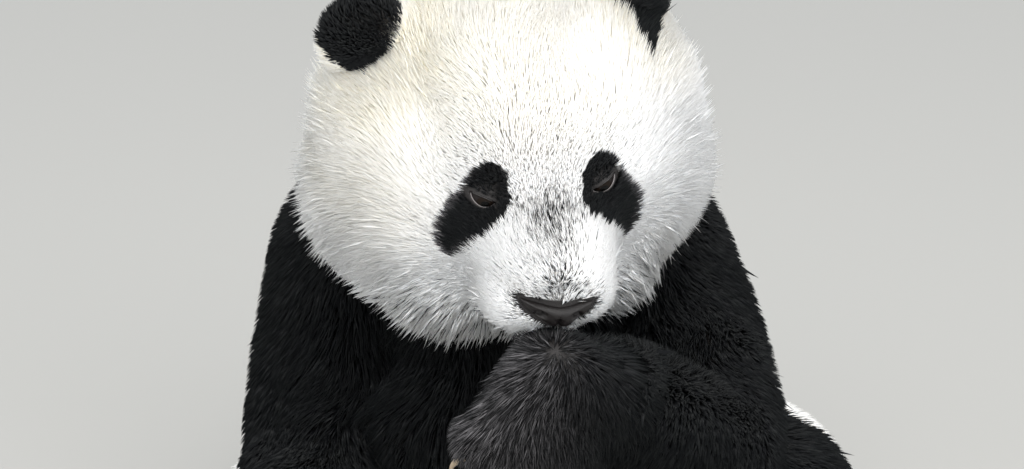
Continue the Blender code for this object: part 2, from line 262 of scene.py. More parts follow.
def kind_of(node):
    """The node's name without its side."""
    return node.replace("_left", "").replace("_right", "")


def head_coat(places):
    """How deep the coat stands at places on the head."""
    aside, ahead, above = apart(places)
    deep = 0.0046 + 0.0080 * step(0.018, 0.085, above) + 0.015 * step(0.050, 0.100, aside)
    deep += 0.013 * step(-0.055, -0.105, above) + 0.010 * step(0.075, 0.025, ahead)
    by_eye = step(0.012, 0.026, distance(places, (EYE_ASIDE, EYE_FORWARD, -EYE_BELOW)))
    return np.minimum(deep, 0.020) * (0.55 + 0.45 * by_eye)


def coat_depth(points, owners):
    """How deep the coat is to stand over each point of the outline, by its node."""
    deep = np.array([COAT_DEPTH.get(kind_of(name), 0.0) for name in owners])
    head = np.array([name == "head" for name in owners])
    deep[head] = head_coat(in_head(points[head]))
    return np.minimum(deep, FLOOR_COAT + 1.1 * np.maximum(points[:, 2] - FLOOR_NEAR, 0.0))


def outline(names):
    """The CAD's surface over these nodes, and the node that each of its faces is on."""
    solids = [node_arrays(name) for name in names]
    owners = [name for name, (_, faces) in zip(names, solids) for _ in faces]
    mesh = solid_mesh("outline", solids)
    tree = surface_of(mesh)
    bpy.data.meshes.remove(mesh)
    return tree, owners


def joined_outline(names):
    """The outline of these nodes as one surface, for finding how deep inside it a place is."""
    mesh = melted("whole", solid_mesh("whole", [node_arrays(n) for n in names]), HIDE_VOXEL)
    tree = surface_of(mesh)
    bpy.data.meshes.remove(mesh)
    return tree


def cut_rims(points, owners, names):
    """1 at the points where a limb's root is parted from its other group, 0 away from them."""
    others = [n for n in FLESH if n not in names and kind_of(n) in PARTED_FROM]
    tree, _ = outline(others)
    limb = np.array([kind_of(name) in ("upper_arm", "thigh") for name in owners])
    gaps = np.full(len(points), 1.0)
    gaps[limb] = [tree.find_nearest(p)[3] for p in points[limb]]
    return step(0.022, 0.008, gaps)


def drawn_in(names):
    """These nodes as one skin, drawn in by the depth of the coat."""
    mesh = solid_mesh("flesh", [node_arrays(name, SWELL) for name in names])
    skin = melted("flesh", mesh, GROUP_VOXEL)
    tree, face_owners = outline(names)
    points, edges = corners_and_edges(skin)
    owners = [face_owners[tree.find_nearest(p)[2]] for p in points]
    deep = relaxed(coat_depth(points, owners), edges, 6)
    deep += RIM_DEPTH * relaxed(cut_rims(points, owners, names), edges, 2)
    steps = 5
    for _ in range(steps):
        points = points - normals_at(skin, points) * (deep / steps)[:, None]
        points = relaxed(points, edges, 1, 0.5)
    faces = [list(p.vertices) for p in skin.polygons]
    bpy.data.meshes.remove(skin)
    return [Vector(p) for p in points], faces


def standing_out(points, surface):
    """How far each place is outside a surface, and the way straight out from it."""
    found = [surface.find_nearest(p)[:2] for p in points]
    near, out = (np.array([pair[k] for pair in found]) for k in (0, 1))
    return ((points - near) * out).sum(1), out


def kept_inside(points, edges):
    """The hide's corners, each at least most of the coat's depth inside the outline."""
    tree, face_owners = outline(FLESH)
    for _ in range(3):
        beyond, out = standing_out(points, whole)
        owners = [face_owners[tree.find_nearest(p)[2]] for p in points - beyond[:, None] * out]
        excess = np.clip(beyond + LEAST_INSIDE * coat_depth(points, owners), 0.0, 0.030)
        points = points - relaxed(excess, edges, 1, 0.5)[:, None] * out
        points = relaxed(points, edges, 3, 0.5)
    return points


def on_face(places):
    aside, ahead, above = apart(places)
    return within(0.060, ahead, 0.152) & (aside < 0.075) & within(-0.105, above, 0.045)


def on_lids(places, reach):
    aside, ahead, above = apart(places)
    return (ahead > 0.06) & (np.hypot(aside - EYE_ASIDE, above + EYE_BELOW) < reach)


def on_lips(places):
    aside, ahead, above = apart(places)
    return (aside < 0.040) & within(-0.100, above, -0.049) & within(0.105, ahead, 0.150)


def refine(mesh, wanted):
    """Halves the edges of the faces whose middles are wanted."""
    bm = bmesh.new()
    bm.from_mesh(mesh)
    centres = np.array([f.calc_center_median() for f in bm.faces])
    chosen = [f for f, want in zip(bm.faces, wanted(in_head(centres))) if want]
    edges = list({e for f in chosen for e in f.edges})
    bmesh.ops.subdivide_edges(bm, edges=edges, cuts=1, use_grid_fill=True)
    bmesh.ops.triangulate(bm, faces=[f for f in bm.faces if len(f.verts) > 4])
    bm.to_mesh(mesh)
    bm.free()


whole = joined_outline(FLESH)
hide = melted("hide", solid_mesh("hide", [drawn_in(g) for g in [CORE, *LIMBS]]), HIDE_VOXEL)
hide_points, hide_edges = corners_and_edges(hide)
move_corners(hide, kept_inside(relaxed(hide_points, hide_edges, 5, 0.6), hide_edges))
refine(hide, on_face)
refine(hide, lambda places: on_lids(places, 0.017) | on_lips(places))
refine(hide, lambda places: on_lids(places, 0.0125))
hide_points, hide_edges = corners_and_edges(hide)
hide_points = relaxed(hide_points, hide_edges, 3, 0.6)

# ---- Hide: the folds round the eyes and the mouth ---------------------------------------------
# The skin rises over each eyeball as a lid and opens in a slanting almond, its outer corner the
# higher. The lips meet in a dark line that runs out and back from under the nose.

EYE_RADIUS = 0.0095
OPENING = (0.0083, 0.0033)  # half the length and height of the gap between the lids
OPENING_TILT = math.radians(27.0)
ROUNDNESS = 1.7  # of the gap: 2 would be an ellipse
LID_SKIN = 0.0009  # the lid's own height over the eyeball
LID_REACH = 0.013  # from the eye's middle to where the lid has run out into the face
NOSE_HALF = (  # its outline in front: how far aside and above, from the top to the foot
    (0.0, -0.0590), (0.0070, -0.0586), (0.0150, -0.0576), (0.0205, -0.0566), (0.0236, -0.0564),
    (0.0226, -0.0594), (0.0178, -0.0643), (0.0120, -0.0681), (0.0060, -0.0713), (0.0, -0.0727),
)
NOSE_SLOPE = 0.17  # the hand at the mouth pushes the nose a little aslant
NOSE_OUTLINE = NOSE_HALF + tuple((-x, z) for x, z in NOSE_HALF[-2:0:-1])
NOSE_OUTLINE = tuple((x, z - NOSE_SLOPE * x) for x, z in NOSE_OUTLINE)
NOSE_AHEAD = 0.115  # the front of the muzzle is ahead of this
MOUTH_HALF, MOUTH_TOP = 0.036, -0.0790
LIP_DEPTH = 0.0022


def eye_axes(side):
    """Rows: from the inner to the outer corner of the lids, up across them, and out of the eye."""
    out = unit(np.array((side * 0.24, 0.96, -0.06)))
    corner = np.array((side * math.cos(OPENING_TILT), 0.0, math.sin(OPENING_TILT)))
    corner = unit(corner - (corner @ out) * out)
    over = np.cross(out, corner) * side
    over = over if over[2] > 0 else -over
    return np.array((corner, over, out)) @ HEAD_AXES


def by_eye(points, name, side):
    """Places by an eye: along the gap between its lids, up across it, and out."""
    return ((points - middle("eye_" + name)) @ eye_axes(side).T).T


def almond(across, over):
    """Below 1 between the lids, which meet in two corners."""
    x, y = np.abs(across) / OPENING[0], np.abs(over) / OPENING[1]
    return x**ROUNDNESS + y**ROUNDNESS


def mouth_gap(places):
    """How far places on the muzzle are from the line where the lips meet."""
    aside, ahead, above = apart(places)
    lips = within(0.09, ahead, 0.1475)
    line = np.abs(above - (MOUTH_TOP - 0.16 * aside - 3.0 * aside**2))
    line = np.where(lips & (aside < MOUTH_HALF), line, 1.0)
    groove = np.where(lips & within(MOUTH_TOP, above, -0.066), aside, 1.0)
    return np.minimum(line, groove)


def folded(points):
    """The hide's corners, with the lids raised over the eyes and the lips drawn in."""
    points = points.copy()
    for name, side in SIDES:
        x, y, z = by_eye(points, name, side)
        round_eye = np.hypot(x, y)
        near = (round_eye < LID_REACH) & (z > 0.0)
        ball = np.sqrt(np.maximum((EYE_RADIUS + LID_SKIN) ** 2 - round_eye**2, 0.0))
        lid = 0.5 * (z + ball + np.sqrt((z - ball) ** 2 + 0.0012**2))
        behind = np.sqrt(np.maximum((EYE_RADIUS - 0.0013) ** 2 - round_eye**2, 0.0))
        behind = np.maximum(behind, lid - 0.0027)
        gap = almond(x, y)
        lid -= 0.0007 * np.exp(-(((gap - 2.5) / 0.45) ** 2)) * step(0.0, 0.002, y)
        moved = lid + step(1.35, 1.0, gap) * (behind - lid)
        fade = step(LID_REACH, 0.010, round_eye)
        points[near] += ((moved - z) * fade)[near, None] * eye_axes(side)[2]
    depth = LIP_DEPTH * step(0.0034, 0.0008, mouth_gap(in_head(points)))
    return points - depth[:, None] * HEAD_AXES[1]


def beside_muzzle(places):
    """Near 1 in the hollow where the muzzle runs out into the cheeks."""
    aside, ahead, above = apart(places)
    share = step(0.030, 0.042, aside) * step(0.085, 0.070, aside) * step(0.020, 0.045, ahead)
    return share * step(-0.125, -0.110, above) * step(-0.005, -0.025, above)


hollow = relaxed(beside_muzzle(in_head(hide_points)), hide_edges, 4)[:, None]
filled = relaxed(hide_points, hide_edges, 60)
hide_points += hollow * (filled - hide_points)
hide_points = folded(hide_points)
hide_normals = normals_at(hide, hide_points)
hide_tree = surface_of(hide)

# ---- Hide: whose skin each point is, and how the hair lies there ------------------------------
# Hair grows back from the nose over the face, outwards over the cheeks and down the body, and
# along each limb to its toes. Its length, lean and closeness go by the part it grows on.

SAME_SKIN = {"eye_left": "head", "eye_right": "head", "nose": "muzzle"}
DOWN = np.array((0.0, 0.0, -1.0))
NOSE_TIP = from_head((0.0, 0.150, -0.065))
WRIST_TOP = np.array((0.0265, -0.2176, 0.3297))  # the hair of the raised hand fans out from here
LOOK_OUT, NODE_GAP = 0.05, 0.0015  # a ray's length from the hide, and what it may leap over
TOUCHING = 0.0012
FACE_COAT = 0.0078  # where the head's coat is lower than this, its hair is a face's
LONGEST_RUN = 0.034
BARE_RIM, BARE_LIDS, BARE_LIPS = -0.0007, 1.9, 0.0012  # how near the nose, eyes and lips hair grows
# Spacing and breadth of the tufts in metres, the lean of their tips in degrees above the
# skin, and how far neighbours' tips draw together.
GROWTH = {
    "muzzle": (0.00085, 0.00042, 27, 0.08), "face": (0.00095, 0.00056, 32, 0.12),
    "head": (0.00103, 0.00068, 32, 0.40), "ear": (0.00100, 0.00060, 52, 0.25),
    "neck": (0.00200, 0.00120, 42, 0.45), "chest": (0.00178, 0.00108, 36, 0.45),
    "trunk": (0.00212, 0.00135, 34, 0.45), "tail": (0.00160, 0.00100, 32, 0.35),
    "upper_arm": (0.00168, 0.00105, 34, 0.45), "forearm": (0.00150, 0.00090, 30, 0.40),
    "forepaw": (0.00122, 0.00062, 24, 0.25), "thigh": (0.00200, 0.00125, 32, 0.45),
    "shank": (0.00165, 0.00100, 30, 0.40), "hindpaw": (0.00140, 0.00070, 24, 0.20),
}


def place_of(points, normals):
    """The node that each point of the hide is in, and how far above it the outline is."""
    tree, face_owners = outline([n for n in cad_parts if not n.startswith("claw")])
    owners, reach = [], np.zeros(len(points))
    for i, (point, normal) in enumerate(zip(points, normals)):
        start, way, owner, left = Vector(point), Vector(normal), None, 0.0
        for _ in range(4):
            hit, facing, face, gap = tree.ray_cast(start, way, LOOK_OUT)
            if hit is None or (owner and facing.dot(way) < 0.0 and gap > NODE_GAP):
                break
            if facing.dot(way) > 0.0:
                owner = owner or face_owners[face]
                left = (hit - Vector(point)).length
            start = hit + way * 1e-5
        owner = owner or face_owners[tree.find_nearest(point)[2]]
        owners.append(SAME_SKIN.get(owner, owner))
        reach[i] = left
    return np.array(owners), reach


def meeting(a, b):
    """The middle of where one node touches another."""
    tree, _ = outline([b])
    near = [p for p in node_arrays(a)[0] if tree.find_nearest(p)[3] < TOUCHING]
    return np.mean(near, axis=0)


def claws_of(paw):
    return [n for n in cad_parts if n.startswith("claw_" + paw)]


def limb_ways():
    """For each node of a limb, the ends between which its hair runs."""
    ways = {}
    for side, _ in SIDES:
        for trunk, upper, lower, paw in (
            ("chest", "upper_arm_", "forearm_", "forepaw_"),
            ("trunk", "thigh_", "shank_", "hindpaw_"),
        ):
            upper, lower, paw = upper + side, lower + side, paw + side
            toes = np.mean([middle(n) for n in claws_of(paw)], axis=0)
            joints = [meeting(upper, trunk), meeting(upper, lower), meeting(lower, paw), toes]
            for name, a, b in zip((upper, lower, paw), joints, joints[1:]):
                ways[name] = (a, b)
    return ways


def along_skin(ways, normals):
    return ways - (ways * normals).sum(1, keepdims=True) * normals


def hair_ways():
    """Which way the hair leans at each point of the hide."""
    ways = np.tile(DOWN, (len(hide_points), 1))
    for name in np.unique(owners):
        here = owners == name
        if kind_of(name) in ("head", "muzzle"):
            ways[here] = unit(hide_points[here] - NOSE_TIP) + 0.9 * jowls[here, None] * DOWN
        elif kind_of(name) == "ear":
            ways[here] = unit(hide_points[here] - meeting(name, "head")) + 0.3 * HEAD_AXES[2]
        elif name in WAYS:
            root, end = WAYS[name]
            hang = 1.2 if name == "forearm_left" else 0.3
            ways[here] = unit(end - root) + hang * DOWN
        elif name == "tail":
            ways[here] = middle("tail") - meeting("tail", "trunk")
    ways = unit(ways)
    fan = hide_points - WRIST_TOP
    share = step(0.110, 0.045, np.linalg.norm(fan, axis=1))
    share *= np.isin(owners, ("forepaw_left", "forearm_left"))
    ways += 1.6 * share[:, None] * unit(fan)
    for _ in range(4):
        ways = relaxed(unit(along_skin(ways, hide_normals)), hide_edges, 6)
    return unit(along_skin(ways, hide_normals))


def tree_of(points):
    """These points, for finding the nearest of them."""
    tree = KDTree(len(points))
    for i, point in enumerate(points):
        tree.insert(point, i)
    tree.balance()
    return tree


def inside(outline, x, y):
    """How far inside the closed outline each place is; below 0 outside."""
    gap, enclosed = np.full(len(x), 1.0), np.zeros(len(x), bool)
    for (x0, y0), (x1, y1) in zip(outline, outline[1:] + outline[:1]):
        along = ((x - x0) * (x1 - x0) + (y - y0) * (y1 - y0)) / ((x1 - x0) ** 2 + (y1 - y0) ** 2)
        along = np.clip(along, 0.0, 1.0)
        gap = np.minimum(gap, np.hypot(x - x0 - along * (x1 - x0), y - y0 - along * (y1 - y0)))
        crosses = (y0 > y) != (y1 > y)
        enclosed ^= crosses & (x < x0 + (y - y0) * (x1 - x0) / ((y1 - y0) or 1e-9))
    return np.where(enclosed, gap, -gap)


owners, reach = place_of(hide_points, hide_normals)
kinds = np.array([kind_of(n) for n in owners])
by_head, by_ear = np.isin(kinds, ("head", "muzzle")), kinds == "ear"
WAYS = limb_ways()
hide_places = in_head(hide_points)
aside, ahead, above = apart(hide_places)
under_jaw = step(-0.055, -0.095, above)
jowls = np.maximum(step(0.040, 0.080, aside) * step(0.0, -0.055, above), under_jaw)
to_ruff = np.maximum(step(0.085, 0.120, aside) * step(0.06, -0.02, above), under_jaw)
hair_way = hair_ways()
on_nose = inside(NOSE_OUTLINE, hide_places[:, 0], above)
on_nose = np.where(ahead > NOSE_AHEAD, on_nose, -1.0)

growth_kinds = np.where((kinds == "head") & (reach < FACE_COAT), "face", kinds)
growth = relaxed(np.array([GROWTH[k] for k in growth_kinds]), hide_edges, 12)
spacing, breadth, lean, drawn = growth.T
underneath = step(0.012, 0.004, hide_points[:, 2]) * step(-0.3, -0.8, hide_normals[:, 2])
crowd = 0.92 + 0.33 * step(0.02, -0.05, ahead)
spacing = spacing * (1.0 + 0.8 * underneath)
spacing = np.where(by_head, crowd * (1.0 - 0.08 * to_ruff) * spacing, spacing)
breadth = np.where(by_head, (1.0 - 0.2 * to_ruff) * breadth, breadth)
lift = math.radians(16.0) * step(-0.006, 0.0, on_nose) + math.radians(15.0) * to_ruff
lean = np.radians(lean)
lean = np.where(by_head, lean + lift, lean)
drawn = np.where(by_head, 0.08 + 0.42 * to_ruff, 0.7 * drawn)
unevenness = np.where(by_head, 0.12 + 0.38 * to_ruff, 0.22)

wanted = coat_depth(hide_points, owners) * np.where(by_ear, 2.0, 1.0)
least = np.where(by_ear, 1.15, 0.7) * wanted
most = np.where(by_head | by_ear, 1.5, 1.1) * wanted + 0.001
coat_height = relaxed(np.clip(reach, least, most), hide_edges, 6)
ear_tree = tree_of(hide_points[by_ear])
from_ear = np.array([ear_tree.find(p)[2] for p in hide_points])
near_ear = np.where(by_ear, 1.0, 0.006 + 0.5 * from_ear)
coat_height = np.where(kinds == "head", np.minimum(coat_height, near_ear), coat_height)
above_floor = np.maximum(hide_points[:, 2] - FLOOR_NEAR, 0.0)
coat_height = np.minimum(coat_height, FLOOR_COAT + above_floor)
coat_height *= 0.5 + 0.5 * step(0.0, 0.014, -on_nose)
coat_height += 0.004 * hollow[:, 0]

bare = (on_nose > BARE_RIM) * 1.0
for name, side in SIDES:
    x, y, z = by_eye(hide_points, name, side)
    bare = np.maximum(bare, (almond(x, y) < BARE_LIDS) & (z > 0.0))
bare = np.maximum(bare, (mouth_gap(hide_places) < BARE_LIPS) & (kinds == "muzzle"))

# ---- Hide: its markings, which the coat shares ------------------------------------------------
# Black ears, eye patches, legs and a band over the shoulders; all else is white, creamy on
# the crown and round the ears. A few dark hairs run down between the eyes to the nose.

BAND_LOW = ((-0.10, 0.165), (0.19, 0.265))  # the shoulder band's edges: (y, z) in front and behind
BAND_HIGH = ((-0.10, 0.345), (0.16, 0.385))
EYE_PATCH = (  # its outline on the face: how far aside and above, from the inner top downwards
    (0.0330, 0.0225), (0.0265, 0.0190), (0.0230, 0.0130), (0.0220, 0.0050), (0.0218, -0.0035),
    (0.0240, -0.0100), (0.0285, -0.0155), (0.0355, -0.0240), (0.0430, -0.0350),
    (0.0500, -0.0480), (0.0560, -0.0450), (0.0600, -0.0365), (0.0595, -0.0190),
    (0.0545, -0.0035), (0.0490, 0.0085), (0.0430, 0.0170), (0.0375, 0.0215),
)
PATCH_DROP = 0.003
EAR_FEET = {1: (0.0690, 0.0420), -1: (0.0855, 0.0425)}  # before each ear the black ends in a point
EAR_SLOPES = {1: (2.1, 1.0), -1: (4.2, 0.7)}  # how steeply its edges rise, inwards and outwards
EAR_MIDDLE = (0.085, 0.01, 0.06)
EDGE_SOFT = 0.006  # the breadth over which black turns white
SEEN = 0.7  # the share of a hair's run at which its colour is seen
THIGH_BLACK = 0.55  # the share of the thigh, from the knee up, that is black
KNEE_BLACK = 0.008  # how far back the black reaches over the top of a knee


def ripple(points, size, seed):
    """A smooth random value near -1 to 1, whose bumps are about this size."""
    rng = np.random.default_rng(seed)
    total = np.zeros(len(points))
    for _ in range(7):
        wave = unit(rng.normal(size=3)) * 2.0 * math.pi / (size * rng.uniform(1.6, 3.2))
        total += np.sin(points @ wave + rng.uniform(0.0, 2.0 * math.pi))
    return total / 2.6


def between(edge, y):
    (y0, z0), (y1, z1) = edge
    return z0 + (y - y0) / (y1 - y0) * (z1 - z0)


def before_ear(places):
    """How far places in front of the ears are inside their black."""
    aside, ahead, above = apart(places)
    deep = np.full(len(places), -1.0)
    for side, (foot_aside, foot_above) in EAR_FEET.items():
        over = aside - foot_aside
        slope = np.where(over < 0.0, *EAR_SLOPES[side])
        here = (places[:, 0] * side > 0.0) & (ahead > 0.0) & (np.abs(over) < 0.060)
        gap = (above - foot_above - slope * np.abs(over)) / np.hypot(1.0, slope)
        deep[here] = gap[here]
    return deep


def in_patch(places):
    """How far inside the eye patches places are; the left patch sits a little lower."""
    lowered = places[:, 2] + PATCH_DROP * (places[:, 0] > 0.0)
    return inside(EYE_PATCH, np.abs(places[:, 0]), lowered)


def body_black(points):
    """1 where a part of the body is black, by its node and place; 0 where it is white."""
    black = np.isin(kinds, ("ear", "upper_arm", "forearm", "forepaw", "shank", "hindpaw")) * 1.0
    places = in_head(points[by_ear])
    left, ahead = places[:, 0] > 0.0, places[:, 1]
    black[by_ear] = (ahead < 0.004) | left | (before_ear(places) > -0.002)
    torso = np.isin(kinds, ("chest", "neck", "trunk"))
    y, z = points[torso, 1], points[torso, 2]
    black[torso] = within(between(BAND_LOW, y), z, between(BAND_HIGH, y))
    for side, _ in SIDES:
        hip, knee = WAYS["thigh_" + side]
        here = owners == "thigh_" + side
        along = (points[here] - knee) @ (hip - knee) / ((hip - knee) @ (hip - knee))
        in_front = points[here, 1] < KNEE_BLACK + 0.5 * np.maximum(0.14 - points[here, 2], 0.0)
        black[here] = (along < THIGH_BLACK) & in_front
    return black


def face_black(places):
    """Above 0.5 in the eye patches, before the ears and between the lips."""
    deep = np.where(places[:, 1] > 0.03, in_patch(places), -1.0)
    deep = np.maximum(deep, before_ear(places))
    deep = np.maximum(deep, 0.0012 - mouth_gap(places))
    return np.clip(0.5 + deep / EDGE_SOFT, 0.0, 1.0)


def blackness(points, limb, head, jitter):
    """How black the coat is at some points: 0.5 is an edge. jitter frays the edges."""
    frayed = np.minimum(limb + face_black(in_head(points)) * head, 1.0)
    return frayed + jitter * (ripple(points, 0.006, 3) * 0.6 + ripple(points, 0.0025, 4) * 0.5)


def speckle(places):
    """The share of dark hairs: most between the eyes, some on to the nose and along the jaw."""
    aside, ahead, above = places.T
    brow = 0.40 * np.exp(-((aside / 0.020) ** 2) - ((above + 0.006) / 0.0090) ** 2)
    ridge = 0.26 * np.exp(-((aside / 0.012) ** 2)) * step(0.0, -0.012, above)
    front = (brow + ridge) * (ahead > 0.08) * step(-0.059, -0.053, above)
    jaw = 0.08 * step(-0.068, -0.100, above)
    rim = 0.6 * step(-0.0045, -0.0015, inside(NOSE_OUTLINE, aside, above)) * (ahead > NOSE_AHEAD)
    return np.maximum(np.maximum(front, jaw), rim)


def creaminess(points):
    """How yellow the white coat is: most on the crown and by the ears, none on the muzzle."""
    places = in_head(points)
    _, ahead, above = apart(places)
    cream = 0.55 * step(0.005, 0.06, above) * step(-0.16, 0.0, ahead)
    cream += 0.50 * step(0.07, 0.03, distance(places, EAR_MIDDLE))
    cream += 0.65 * step(-0.04, -0.09, places[:, 0]) * step(-0.08, -0.01, above)
    on_body = step(0.17, 0.25, np.linalg.norm(places, axis=1))
    body = 0.25 + 0.5 * step(0.12, 0.0, points[:, 2])
    return np.clip(cream * (1.0 - on_body) + body * on_body, 0.0, 1.0)


limb_black = relaxed(body_black(hide_points), hide_edges, 5)
on_head = relaxed(by_head * 1.0, hide_edges, 3)
hair_run = np.minimum(coat_height / np.tan(lean), LONGEST_RUN)[:, None] * hair_way
hide_black = np.maximum(
    blackness(hide_points, limb_black, on_head, 0.0),
    blackness(hide_points + SEEN * hair_run, limb_black, on_head, 0.05),
)
hide_black = np.clip(np.maximum(hide_black, step(-0.0064, -0.0044, on_nose)), 0.0, 1.0)


def unwrapped(piece):
    """Lays the piece's own shape out flat, in a map named OFBake."""
    piece.data.uv_layers.new(name="OFBake")
    bpy.context.view_layer.objects.active = piece
    piece.select_set(True)
    bpy.ops.object.mode_set(mode="EDIT")
    bpy.ops.mesh.select_all(action="SELECT")
    bpy.ops.uv.smart_project(angle_limit=1.15, island_margin=0.002)
    bpy.ops.object.mode_set(mode="OBJECT")
    piece.select_set(False)


def carry(mesh, name, values):
    """Stores one number for each corner of the mesh, for its material to read."""
    mesh.attributes.new(name, "FLOAT", "POINT").data.foreach_set("value", values.astype(np.float32))


def add_node(tree, kind, inputs=(), **settings):
    """A node: its settings first, then what its inputs are set or linked to."""
    made = tree.nodes.new(kind)
    for key, value in settings.items():
        setattr(made, key, value)
    for key, value in inputs.items() if isinstance(inputs, dict) else enumerate(inputs):
        feed(tree, made.inputs[key], value)
    return made


def feed(tree, socket, value):
    """Gives a socket a value, or a link from another node's output."""
    value = getattr(value, "output", value)
    if isinstance(value, bpy.types.NodeSocket):
        tree.links.new(value, socket)
    else:
        socket.default_value = value


def maths(operation, reflected=False):
    def apply(first, second):
        pair = (second, first) if reflected else (first, second)
        return first.look.node("ShaderNodeMath", pair, operation=operation)

    return apply


class Value:
    """One output in a material. Arithmetic on it adds Math nodes."""

    def __init__(self, look, output):
        self.look, self.output = look, output

    __add__, __radd__ = maths("ADD"), maths("ADD", True)
    __sub__, __rsub__ = maths("SUBTRACT"), maths("SUBTRACT", True)
    __mul__, __rmul__ = maths("MULTIPLY"), maths("MULTIPLY", True)


class Look:
    """A material being made round one Principled shader."""

    def __init__(self, name):
        self.material = bpy.data.materials.new(name)
        self.material.use_nodes = True
        self.tree = self.material.node_tree

    def node(self, kind, inputs=(), output=0, **settings):
        return Value(self, add_node(self.tree, kind, inputs, **settings).outputs[output])

    def attribute(self, name):
        return self.node("ShaderNodeAttribute", output="Fac", attribute_name=name)

    def mix(self, share, first, second):
        return self.node("ShaderNodeMix", {0: share, 6: first, 7: second}, 2, data_type="RGBA")

    def place(self):
        return self.node("ShaderNodeTexCoord", output="Object")

    def noise(self, size, detail=2.0):
        """A cloudy 0 to 1 pattern with lumps of about this size in metres."""
        inputs = {"Vector": self.place(), "Scale": 1.0 / size, "Detail": detail}
        return self.node("ShaderNodeTexNoise", inputs)

    def bump(self, height, distance, strength=1.0):
        inputs = {"Strength": strength, "Distance": distance, "Height": height}
        return self.node("ShaderNodeBump", inputs)

    def finish(self, **sockets):
        """Sets the shader's sockets, each named in lower case with _ for a space."""
        inputs = self.tree.nodes["Principled BSDF"].inputs
        for name, value in sockets.items():
            feed(self.tree, inputs[name.replace("_", " ").title().replace("Ior", "IOR")], value)
        return self.material


look = Look("hide")
white = look.mix(look.attribute("cream"), (0.90, 0.89, 0.88, 1), (0.86, 0.79, 0.64, 1))
black = look.mix(look.noise(0.012), (0.012, 0.011, 0.012, 1), (0.022, 0.019, 0.018, 1))
hide.materials.append(look.finish(
    base_color=look.mix(look.attribute("black"), white, black), roughness=0.75,
    normal=look.bump(look.noise(0.0012, 3.0), 0.0006),
))
hide_piece = linked("hide", hide)
unwrapped(hide_piece)
carry(hide, "black", hide_black)
carry(hide, "cream", creaminess(hide_points))
hide.shade_smooth()
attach(hide_piece, "root")
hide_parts(*FLESH)

# ---- Eyes -------------------------------------------------------------------------------------
# Each eyeball is a glossy dark ball with a brown iris, a round pupil and a clear swell over
# them. It looks down at the hand.

IRIS, PUPIL = 0.0056, 0.0026  # their radii, measured over the ball
IRIS_EDGE, PUPIL_EDGE = 4000.0, 5000.0  # how sharp their edges are
CORNEA, CORNEA_EDGE = 0.0005, 0.0068  # the height of the swell, and its radius over the ball
EYE_SIDES, EYE_RINGS = 64, 40


def turns_round(count):
    return np.arange(count) * 2.0 * math.pi / count


def ring_faces(rows, count, closed=False):
    """The faces between rows of corners that each go once round.

    The last row is joined to the first if closed. Otherwise two more corners close the ends:
    the next one after the rows is beyond the last row, and the one after it is before the first.
    """
    faces = []
    for k in range(count):
        after = (k + 1) % count
        for i in range(rows if closed else rows - 1):
            a, b = i * count, (i + 1) % rows * count
            faces.append((a + k, a + after, b + after, b + k))
        if not closed:
            last = (rows - 1) * count
            faces += [(last + k, last + after, rows * count), (after, k, rows * count + 1)]
    return faces


def add_piece(name, points, faces, look):
    """A smooth closed mesh with its faces outwards, linked and given its material."""
    mesh = solid_mesh(name, [(points, faces)])
    bm = bmesh.new()
    bm.from_mesh(mesh)
    bmesh.ops.recalc_face_normals(bm, faces=bm.faces)
    bm.to_mesh(mesh)
    bm.free()
    mesh.materials.append(look)
    mesh.shade_smooth()
    piece = linked(name, mesh)
    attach(piece, "root")
    return piece


def eyeball(name, side):
    """A closed ball of rings about the way it looks, and each corner's distance from its front."""
    out = unit(np.array((side * 0.12, 0.95, -0.22)) @ HEAD_AXES)
    across = unit(np.cross(out, HEAD_AXES[2]))
    over = np.cross(across, out)
    rounds = np.linspace(0.0, math.pi, EYE_RINGS + 1)[1:-1]
    ring, turn = (g.ravel() for g in np.meshgrid(rounds, turns_round(EYE_SIDES), indexing="ij"))
    ring = np.concatenate((ring, (math.pi, 0.0)))
    turn = np.concatenate((turn, (0.0, 0.0)))
    from_front = ring * EYE_RADIUS
    swell = EYE_RADIUS + CORNEA * np.cos(np.clip(from_front / CORNEA_EDGE, 0, 1) * math.pi / 2)
    flat = swell * np.sin(ring)
    ways = np.stack((flat * np.cos(turn), flat * np.sin(turn), swell * np.cos(ring)), 1)
    points = middle("eye_" + name) + ways @ np.array((across, over, out))
    return points, ring_faces(EYE_RINGS - 1, EYE_SIDES), from_front


look = Look("eye")
away = look.attribute("away")
brown = look.mix(look.noise(0.0009, 3.0), (0.004, 0.003, 0.002, 1), (0.013, 0.008, 0.006, 1))
white = look.mix(look.noise(0.002), (0.006, 0.005, 0.005, 1), (0.020, 0.017, 0.017, 1))
outer = look.mix((away - IRIS) * IRIS_EDGE, brown, white)
ball_look = look.finish(
    base_color=look.mix((away - PUPIL) * PUPIL_EDGE, (0.002, 0.002, 0.002, 1), outer),
    roughness=0.3, specular_ior_level=0.0, coat_weight=0.25, coat_roughness=0.01,
)
for name, side in SIDES:
    points, faces, away = eyeball(name, side)
    piece = add_piece("eyeball_" + name, points, faces, ball_look)
    carry(piece.data, "away", away)
    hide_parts("eye_" + name)

# ---- Lid rims ---------------------------------------------------------------------------------
# Each pair of lids ends in a thin, wet rim of bare skin that lies against the ball. It is
# dark, and paler along the lower lid, where a painted highlight stands for its wet gleam.

RIM = 0.00036  # its radius
RIM_SIDES, RIM_STEPS = 10, 120


